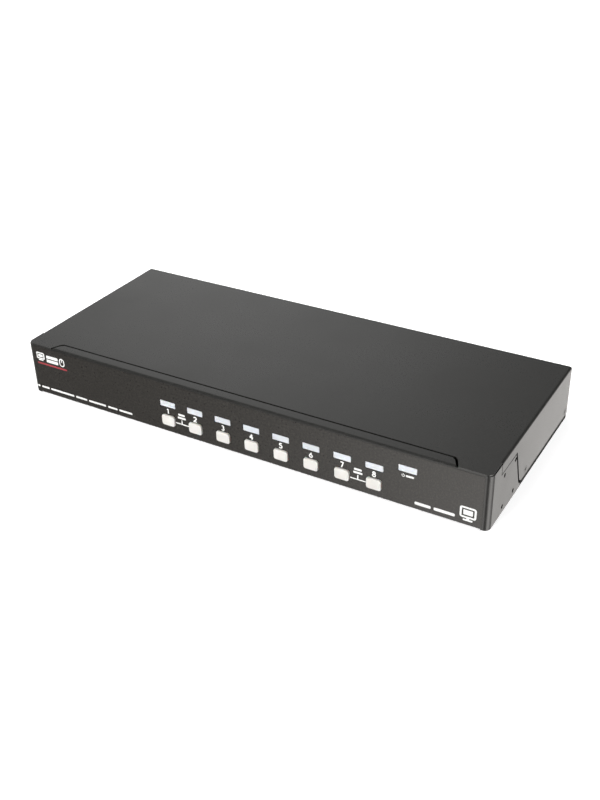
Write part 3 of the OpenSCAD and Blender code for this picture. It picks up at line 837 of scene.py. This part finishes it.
side_screws = flat_screws("cover_screw_set", [
    ("x", (y, COVER_SCREW_Z), side * HALF_W, -side) for y in COVER_SCREW_Y for side in (-1, 1)], 6)
finish_piece(side_screws, "case", screw_black, ["cover_screws"])
base_screws = flat_screws("panel_screw_set", [
    ("z", (x, PANEL_SCREW_Y), 0.0, 1) for x in PANEL_SCREW_X], 5)
finish_piece(base_screws, "case", screw_black, ["panel_screws"])


def hexagon(at, reach, chamfer):
    """A hexagon of 24 points, six of them on its corners, which a turned chamfer takes off."""
    pts = []
    for k in range(24):
        a = math.tau * k / 24
        flat = reach * math.cos(math.pi / 6) / math.cos((a % (math.pi / 3)) - math.pi / 6)
        r = min(flat, reach - chamfer)
        pts.append((at[0] + r * math.cos(a), at[1] + r * math.sin(a)))
    return pts


def jack_fill(bm):
    near, far, reach, chamfer, pitch = REAR + 0.01, REAR + 4.8, 2.75, 0.34, 0.4
    for x in VIDEO_X:
        for side in (-0.5, 0.5):
            at = (x + side * JACK_PITCH, VIDEO_Z)
            rings = [(hexagon(at, reach, chamfer), near), (hexagon(at, reach, 0.0), REAR + 0.25),
                     (hexagon(at, reach, 0.0), far - 0.25), (hexagon(at, reach, chamfer), far),
                     (circle(1.5, 24, *at), far)]
            # the thread inside, as ridges
            for turn in range(8):
                rings.append((circle(1.2, 24, *at), far - (turn + 0.5) * pitch))
                rings.append((circle(1.42, 24, *at), far - (turn + 1) * pitch))
            loft(bm, rings, "y")
            lathe(bm, [(1.45, REAR + 0.05), (1.45, REAR - 5.1), (1.1, REAR - 5.5)], "y", at, 20)


jacks = mesh_object("jack_screw_set", jack_fill)
finish_piece(jacks, "case", jack_nickel, ["jack_screws"], angle=32)

# -------- video ports


def video_fill(x):
    back, wall, middle = REAR - SHEET, 0.45, (x, VIDEO_Z)

    def shell(stops):
        return [(d_outline(grow, x, VIDEO_Z), y) for grow, y in stops]

    def fill(bm):
        # shell: outside, rolled lip, inside down to its floor
        tag(loft(bm, shell([
            (0.35, back - 0.05), (0.1, back + 0.5), (0.0, back + 1.0), (0.0, SHELL_OUT - 0.2),
            (-0.12, SHELL_OUT), (0.1 - wall, SHELL_OUT), (-wall, SHELL_OUT - 0.15), (-wall, back + 0.3),
        ]), "y"), 0)
        # mounting plate behind the rear panel
        tag(eased_bar(bm, 30.8, 12.4, 1.3, 4, middle,
                      [(back - 0.02, 0.1), (back - 0.12, 0), (back - 0.7, 0), (back - 0.8, 0.1)]), 0)
        # moulded body behind the plate
        low, high = 9.25, VIDEO_Z + 6.1
        centre = (x, (low + high) / 2)
        small, full = (18.0, high - low - 0.3, 0.3, 2, *centre), (18.4, high - low, 0.4, 2, *centre)
        tag(loft(bm, [(rounded(*small), back - 0.82), (rounded(*full), back - 1.0),
                      (rounded(*full), back - 11.8), (rounded(*small), back - 12.0)], "y"), 1)
    return fill


def insulator_fill(bm):
    loft(bm, [(d_outline(-0.5, 0, VIDEO_Z), REAR - 0.8), (d_outline(-0.5, 0, VIDEO_Z), SHELL_OUT - 0.75),
              (d_outline(-0.62, 0, VIDEO_Z), SHELL_OUT - 0.6)], "y")


def contact_wells(bm):
    pitch = 2.29
    for shift, z in ((0.51525, 1.98), (-0.51525, 0.0), (0.54, -1.98)):
        for k in range(5):
            lathe(bm, [(0.56, SHELL_OUT), (0.56, SHELL_OUT - 0.65), (0.42, SHELL_OUT - 0.9),
                       (0.42, SHELL_OUT - 3.2)], "y", ((k - 2) * pitch + shift, VIDEO_Z + z), 12)


insulator = boolean(mesh_object("insulator_master", insulator_fill), "DIFFERENCE", contact_wells)
for name, x in zip(VIDEO_PORTS, VIDEO_X):
    port = mesh_object(f"{name}_socket", video_fill(x))
    finish_piece(port, "case", [nickel, black_plastic], [name], angle=38)
    core = bpy.data.objects.new(f"{name}_insulator", insulator.data.copy())
    scene.collection.objects.link(core)
    core.data.transform(Matrix.Translation((x, 0, 0)))
    finish_piece(core, "case", port_blue, angle=38)
bpy.data.objects.remove(insulator)

# -------- USB sockets and power inlet

USB_BACK, USB_OUT = usb_low[1], usb_high[1]
USB_SOCKETS = [usb_low[2] + 1.2, usb_low[2] + 9.0]


def usb_fill(bm):
    eased_bar(bm, 13.2, 15.6, 0.6, 4, (USB_X, USB_Z),
              [(USB_BACK, 0.1), (USB_BACK + 0.2, 0), (USB_OUT - 0.15, 0), (USB_OUT, 0.1)])


def usb_cuts(bm):
    for floor_z in USB_SOCKETS:
        prism(bm, rounded(12.2, 5.1, 0.35, 3, USB_X, floor_z + 2.65), "y", USB_OUT - 11, USB_OUT + 1)


def usb_inner(bm):
    """In each socket: the white tongue, its four contacts and the shell's spring tongues."""
    for floor_z in USB_SOCKETS:
        under = floor_z + 3.0
        tongue = rounded(11.0, 1.7, 0.2, 2, USB_X, under + 0.85)
        tag(loft(bm, [(tongue, USB_OUT - 10.9), (tongue, USB_OUT - 2.2),
                      (rounded(10.7, 1.4, 0.2, 2, USB_X, under + 0.85), USB_OUT - 2.0)], "y"), 0)
        for k in range(4):
            contact = rounded(1.0, 0.16, 0.05, 1, USB_X + (k - 1.5) * 2.3, under - 0.04)
            tag(prism(bm, contact, "y", USB_OUT - 10, USB_OUT - 2.6), 1)
        for s in (-1, 1):
            for x in (USB_X - 3, USB_X + 3):
                z = floor_z + 2.65 + s * 2.5
                tag(loft(bm, [(rounded(w, 0.2, 0.05, 1, x, z - s * dip), USB_OUT - y)
                              for w, dip, y in ((1.8, 0, 7), (1.8, 0.35, 3.5), (1.6, 0.1, 1.8))], "y"), 2)


usb = boolean(mesh_object("usb_shell", usb_fill), "DIFFERENCE", usb_cuts)
bevel(clean(usb), 0.08, 2)
finish_piece(usb, "case", nickel, ["usb_ports"])
tongues = mesh_object("usb_tongues", usb_inner)
finish_piece(tongues, "case", [socket_white, gold, nickel])

JACK_AT, JACK_OUT = (JACK_X, JACK_Z), jack_high[1]
JACK_BORE_R, JACK_COLLAR_R = 3.2, 4.6


def inlet_housing(bm):
    width, height, back = 9.0, 11.0, jack_low[1]
    eased_bar(bm, width, height, 0.4, 3, (JACK_X, jack_low[2] + height / 2),
              [(back, 0.1), (back + 0.2, 0), (REAR - SHEET, 0)])


def inlet_collar(bm):
    r = JACK_COLLAR_R
    lathe(bm, [(r, REAR - SHEET - 0.5), (r, JACK_OUT - 0.3), (r - 0.25, JACK_OUT)], "y", JACK_AT, 40)


def inlet_bore(bm):
    r = JACK_BORE_R
    lathe(bm, [(r + 0.3, JACK_OUT + 1), (r + 0.3, JACK_OUT), (r, JACK_OUT - 0.3), (r, JACK_OUT - 10)],
          "y", JACK_AT, 40)


def inlet_pin(bm):
    lathe(bm, [(1.0, JACK_OUT - 10), (1.0, JACK_OUT - 2.3), (0.8, JACK_OUT - 1.8), (0.3, JACK_OUT - 1.5)],
          "y", JACK_AT, 24)


inlet = boolean(mesh_object("power_inlet", inlet_housing), "UNION", inlet_collar)
boolean(inlet, "DIFFERENCE", inlet_bore)
finish_piece(bevel(clean(inlet), 0.08, 2), "case", black_plastic, ["dc_jack"])
finish_piece(mesh_object("power_inlet_pin", inlet_pin), "case", nickel)

# -------- printing


def ribbon(bm, pts, width, y, thick, closed=False):
    """A printed line of constant width through points (x, z); y is its outer face."""
    n = len(pts)
    rows = []
    for k in range(n):
        p = Vector(pts[k])
        before = Vector(pts[k - 1]) if closed or k else p
        after = Vector(pts[(k + 1) % n]) if closed or k < n - 1 else p
        a = (p - before).normalized() if (p - before).length else (after - p).normalized()
        b = (after - p).normalized() if (after - p).length else a
        t = (a + b).normalized() if (a + b).length > 1e-6 else a
        across = Vector((-t.y, t.x))
        mitre = min(1.6, 1 / max(0.5, abs(across.dot(Vector((-a.y, a.x))))))
        rows.append((p + across * width / 2 * mitre, p - across * width / 2 * mitre))
    front = [[bm.verts.new((q.x, y, q.y)) for q in row] for row in rows]
    back = [[bm.verts.new((q.x, y + thick, q.y)) for q in row] for row in rows]
    for k in range(n if closed else n - 1):
        f, g, e, h = front[k], front[(k + 1) % n], back[k], back[(k + 1) % n]
        for face in ((f[0], g[0], g[1], f[1]), (e[1], h[1], h[0], e[0]),
                     (f[0], e[0], h[0], g[0]), (g[1], h[1], e[1], f[1])):
            bm.faces.new(face)
    if not closed:
        bm.faces.new((front[0][1], back[0][1], back[0][0], front[0][0]))
        bm.faces.new((front[-1][0], back[-1][0], back[-1][1], front[-1][1]))


def numeral(digit, height, stroke):
    """Centrelines of a numeral about its middle: [(points, closed)]."""
    h, w = (height - stroke) / 2, (height * 0.68 - stroke) / 2
    if digit == 1:
        return [([(0.15 * w, h), (0.15 * w, -h)], False), ([(-0.75 * w, h - 0.5 * w), (0.15 * w, h)], False)]
    if digit == 2:
        top = arc(0, h - w, w, 165, -35, 14)
        return [(top + [(-w, -h)], False), ([(-w - stroke / 2, -h), (w + stroke / 3, -h)], False)]
    if digit == 3:
        r1, r2 = h * 0.46, h * 0.54
        return [(arc(0, h - r1, r1, 150, -90, 14), False), (arc(0, r2 - h, r2, 90, -150, 14), False)]
    if digit == 4:
        return [([(0.45 * w, -h - stroke / 2), (0.45 * w, h)], False),
                ([(0.45 * w, h), (-1.1 * w, -0.38 * h)], False),
                ([(-1.25 * w, -0.38 * h), (1.25 * w, -0.38 * h)], False)]
    if digit == 5:
        r = h * 0.62
        return [([(0.9 * w, h), (-0.7 * w, h)], False), ([(-0.6 * w, h), (-0.72 * w, r * 0.25)], False),
                (arc(-0.08 * w, r - h, r, 128, -150, 16), False)]
    if digit == 6:
        r = h * 0.58
        stem = [(0.5 * w, h), (-r * 0.93, r - h + r * 0.42)]
        return [(arc(0, r - h, r, 0, 337.5, 15), True), (stem, False)]
    if digit == 7:
        return [([(-w, h), (w, h)], False), ([(w, h + stroke * 0.3), (-0.35 * w, -h - stroke / 2)], False)]
    r1, r2 = h * 0.45, h * 0.55
    return [(arc(0, h - r1, r1, 0, 337.5, 15), True), (arc(0, r2 - h, r2, 0, 337.5, 15), True)]


def patch(bm, w, h, r, x, z, y, thick):
    """A printed bar with round corners; y is its outer face."""
    prism(bm, rounded(w, h, r, 4, x, z), "y", y, y + thick)


INK_T, INK_OVER = 0.03, 0.002
FRONT_INK, REAR_INK = FRONT - FILM_T - 0.02, REAR + 0.03


def printer(bm, y, side):
    """Draws on one face: side is 1 on the front and -1 on the rear. A higher level lies over a lower one."""
    def layer(level):
        return y - side * INK_OVER * level, side * (INK_T + INK_OVER * level)

    def line(pts, width, level=0, closed=False):
        ribbon(bm, pts, width, *layer(level), closed)

    def bar(w, h, r, x, z, level=0):
        patch(bm, w, h, r, x, z, *layer(level))

    def digit(value, x, z, height, stroke):
        for level, (pts, closed) in enumerate(numeral(value, height, stroke)):
            line([(x + side * px, z + pz) for px, pz in pts], stroke, level, closed)

    return line, bar, digit


def power_mark(line, x, z, r, stroke, low, high):
    """A ring open at the top, with a stroke in the opening."""
    line(arc(x, z, r, 125, 415, 16), stroke)
    line([(x, low), (x, high)], stroke, 1)


def bar_row(bar, x, z, lengths, height, r, gap):
    """Printed bars in a row that starts at x."""
    for length in lengths:
        bar(length, height, r, x + length / 2, z)
        x += length + gap


def front_print(bm):
    line, bar, digit = printer(bm, FRONT_INK, 1)
    # a number between each button and its window
    for i, x, _ in BUTTONS:
        digit(i, x, 19.3, 4.9, 0.95)
    # links between the two pairs of buttons that are pressed together, with two bars for their label
    for first, second, z, tick in ((0, 1, 11.1, 14.7), (6, 7, 10.6, 14.4)):
        reach = BUTTON_W / 2 + 0.6
        left, right = BUTTONS[first][1] + reach, BUTTONS[second][1] - reach
        middle = (left + right) / 2
        line([(left, z), (right, z)], 0.9)
        line([(middle, z), (middle, tick)], 0.9, 1)
        bar(7.2, 1.7, 0.5, middle, tick + 1.9)
        bar(6.0, 1.7, 0.5, middle, tick + 4.6)
    # power mark and a bar under the power window
    power_mark(line, POWER_X - 3.1, 26.0, 1.05, 0.42, 26.1, 27.45)
    bar(6.0, 1.5, 0.5, POWER_X + 1.9, 26.0)
    # bars along the lower edge, left and right
    bar_row(bar, -196.5, 6.1, (2.6, 8.0, 24.5, 11.5, 17.5, 9.5, 13.0), 1.7, 0.6, 2.0)
    bar_row(bar, 146.0, 5.9, (12.0, 15.5), 2.4, 0.8, 2.2)
    # screen on a foot, at the lower right corner
    x, z = 185.0, 11.2
    line(rounded(10.6, 7.8, 1.0, 4, x, z), 1.4, 0, True)
    bar(6.8, 4.0, 0.4, x, z)
    bar(2.0, 1.6, 0.3, x, z - 5.2, 1)
    bar(7.0, 1.4, 0.6, x, z - 6.3, 2)
    # screen, keyboard and mouse at the upper left
    x, z = -188.0, 35.1
    line(rounded(7.2, 5.0, 0.6, 3, x, z + 0.7), 1.0, 0, True)
    bar(4.6, 2.4, 0.2, x, z + 0.7)
    bar(5.0, 1.0, 0.4, x, z - 3.2)
    x += 12.2
    bar(12.0, 2.6, 0.5, x, z - 2.4)
    bar(12.0, 2.6, 0.5, x, z + 1.2)
    x += 10.2
    line(rounded(4.4, 6.4, 2.1, 6, x, z - 0.4), 0.9, 0, True)
    line([(x, z - 0.2), (x, z + 2.4)], 0.8, 1)


def red_print(bm):
    patch(bm, 31.0, 1.5, 0.6, -176.5, 28.9, FRONT_INK, INK_T)


def rear_print(bm):
    line, bar, digit = printer(bm, REAR_INK, -1)
    # a number over each computer's socket, on a bracket that spans it
    for i, x in enumerate(VIDEO_X[:8]):
        digit(i + 1, x, 28.4, 4.2, 0.6)
        line([(x - 14, 23.6), (x - 14, 24.6), (x + 14, 24.6), (x + 14, 23.6)], 0.4)
    # a screen over the console's socket, a mouse and a keyboard over USB, and the power mark
    x = VIDEO_X[8]
    line(rounded(6.4, 4.4, 0.5, 3, x, 28.9), 0.6, 0, True)
    bar(4.4, 0.7, 0.3, x, 25.6)
    line(rounded(4.0, 5.8, 1.9, 5, USB_X - 4.5, 29.6), 0.55, 0, True)
    line(rounded(7.0, 3.6, 0.5, 3, USB_X + 3.4, 29.6), 0.55, 0, True)
    bar(4.6, 0.6, 0.2, USB_X + 3.4, 29.1)
    power_mark(line, JACK_X, 27.6, 2.0, 0.6, 27.8, 30.3)


finish_piece(mesh_object("front_printing", front_print), "case", ink)
finish_piece(mesh_object("front_printing_red", red_print), "case", ink_red)
finish_piece(mesh_object("rear_printing", rear_print), "case", ink)

# -------- CAD nodes that stay, with better materials

STAY = {
    "front_board": board_upright, "main_board": board_flat, "leds": amber,
    "front_standoffs": steel, "front_board_screws": steel, "main_standoffs": steel,
    "main_board_screws": steel, "front_header": black_plastic, "main_header": black_plastic,
    "buzzer": black_plastic, "ribbon_cable": cable_grey, "main_chip": chip, "video_chips": chip,
    "heat_sink": aluminium, "capacitors": sleeve,
}
for i, _, _ in BUTTONS:
    STAY[f"plunger_{i}"] = STAY[f"switch_{i}"] = switch_plastic
for name, mat in STAY.items():
    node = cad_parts[name]
    node.data.materials.clear()
    node.data.materials.append(mat)
    weld = node.modifiers.new("weld", "WELD")
    weld.merge_threshold = 0.002 * MM
    edge = node.modifiers.new("bevel", "BEVEL")
    edge.width, edge.segments = 0.12 * MM, 1
    edge.limit_method, edge.angle_limit = "ANGLE", math.radians(40)

# -------- floor, light and camera

FLOOR_HALF, FLOOR_LOW, FLOOR_TOP = 20000, -20.0, -0.02
floor_mat, floor_tree, floor_shader, floor_co = new_material(
    "studio_floor", Roughness=0.9, Emission_Color=(1.0, 1.0, 1.0, 1.0), Emission_Strength=0.4
)
cloudy = noise(floor_tree, floor_co, 3.0)
floor_tree.links.new(
    ramp(floor_tree, cloudy, [(0.3, (0.90, 0.90, 0.90)), (0.7, (0.92, 0.92, 0.92))]),
    floor_shader.inputs["Base Color"],
)
floor = mesh_object("studio_floor", block_fill(
    (-FLOOR_HALF, -FLOOR_HALF, FLOOR_LOW), (FLOOR_HALF, FLOOR_HALF, FLOOR_TOP)))
floor.data.transform(Matrix.Scale(MM, 4))
floor.data.materials.append(floor_mat)
floor.visible_glossy = False


def softbox(name, at, power):
    """A square light of 1.6 m, aimed at the middle of the object."""
    data = bpy.data.lights.new(name, "AREA")
    data.shape, data.size, data.energy = "SQUARE", 1.6, power
    obj = bpy.data.objects.new(name, data)
    obj.location = at
    obj.rotation_mode = "QUATERNION"
    obj.rotation_quaternion = (Vector(at) - middle).to_track_quat("Z", "Y")
    obj.visible_glossy = False
    scene.collection.objects.link(obj)


middle = (Vector(cad_low) + Vector(cad_high)) / 2
softbox("softbox_front", (-0.9, -2.2, 2.3), 72)
softbox("softbox_back_right", (1.9, 1.5, 2.6), 80)
softbox("softbox_left", (-2.6, -0.2, 2.2), 60)

# The studio around the object, as (azimuth in degrees from +Y towards +X, brightness).
TABLE_TINT, WALL_TINT = (1.0, 0.975, 0.945), (1.0, 1.0, 0.995)
TABLE_LIGHT = [
    (-180, 1.4), (-166, 3.2), (-160, 3.1), (-154, 1.3), (-149, 0.35), (-140, 0.2), (-125, 0.3),
    (-90, 0.8), (-40, 0.9), (0, 1.6), (10, 2.3), (19, 2.0), (24, 1.2), (31, 0.35), (42, 0.35),
    (60, 0.9), (78, 2.4), (95, 4.8), (125, 4.6), (138, 0.8), (148, 0.15), (172, 0.2), (180, 1.4),
]
WALL_LIGHT = [
    (-180, 0.5), (-168, 0.9), (-160, 0.3), (-152, 0.06), (-140, 0.05), (-90, 0.2), (-54, 0.12),
    (-42, 1.05), (-27, 0.95), (-16, 0.24), (-5, 0.12), (15, 0.06), (42, 0.05), (60, 0.3),
    (120, 0.4), (180, 0.5),
]
CEILING_LIGHT = 0.2
BRIGHTEST = 5.0
BACKDROP = 0.86


def studio_world():
    """Light by direction: a pale table below, walls around and a ceiling above."""
    made = bpy.data.worlds.new("studio")
    made.use_nodes = True
    tree = made.node_tree
    background = tree.nodes["Background"]
    background.inputs["Strength"].default_value = BRIGHTEST
    coord = tree.nodes.new("ShaderNodeTexCoord")
    split = tree.nodes.new("ShaderNodeSeparateXYZ")
    tree.links.new(coord.outputs["Generated"], split.inputs[0])
    azimuth = math_node(tree, "ARCTAN2", split.outputs["X"], split.outputs["Y"])
    turn = remap(tree, azimuth, -math.pi, math.pi, 0.0, 1.0)

    def around(stops, tint):
        """Brightness by azimuth, in one tint."""
        return ramp(tree, turn, [((a + 180) / 360, tuple(v / BRIGHTEST * c for c in tint)) for a, v in stops])

    def grey(value):
        node = tree.nodes.new("ShaderNodeRGB")
        node.outputs[0].default_value = (*(value / BRIGHTEST,) * 3, 1.0)
        return node.outputs[0]

    def blend(factor, first, second):
        mix = tree.nodes.new("ShaderNodeMix")
        mix.data_type = "RGBA"
        tree.links.new(factor, mix.inputs["Factor"])
        tree.links.new(first, mix.inputs["A"])
        tree.links.new(second, mix.inputs["B"])
        return mix.outputs["Result"]

    def height(z_low, z_high):
        return remap(tree, split.outputs["Z"], z_low, z_high, 0.0, 1.0)

    table, walls = around(TABLE_LIGHT, TABLE_TINT), around(WALL_LIGHT, WALL_TINT)
    room = blend(height(0.5, 0.72), blend(height(-0.26, 0.02), table, walls), grey(CEILING_LIGHT))
    # a plain pale backdrop stands in the picture itself, behind the end of the floor
    seen = tree.nodes.new("ShaderNodeLightPath").outputs["Is Camera Ray"]
    tree.links.new(blend(seen, room, grey(BACKDROP)), background.inputs["Color"])
    return made


scene.world = studio_world()
scene.view_settings.view_transform = "Standard"

# the camera's place in metres, the way to its right, and the way it looks
CAMERA_AT = (0.37765, -0.61896, 0.43958)
CAMERA_RIGHT = (0.8647, 0.50181, -0.02221)
CAMERA_LOOK = (-0.43986, 0.73513, -0.51586)
camera_data = bpy.data.cameras.new("camera")
camera_data.sensor_width, camera_data.lens = 36.0, 47.19
camera_data.clip_start, camera_data.clip_end = 0.01, 50.0
camera = bpy.data.objects.new("camera", camera_data)
scene.collection.objects.link(camera)
right, look = Vector(CAMERA_RIGHT).normalized(), Vector(CAMERA_LOOK)
look = (look - right * look.dot(right)).normalized()
turned = Matrix((right, right.cross(look), -look)).transposed()
camera.matrix_world = Matrix.Translation(CAMERA_AT) @ turned.to_4x4()
scene.camera = camera
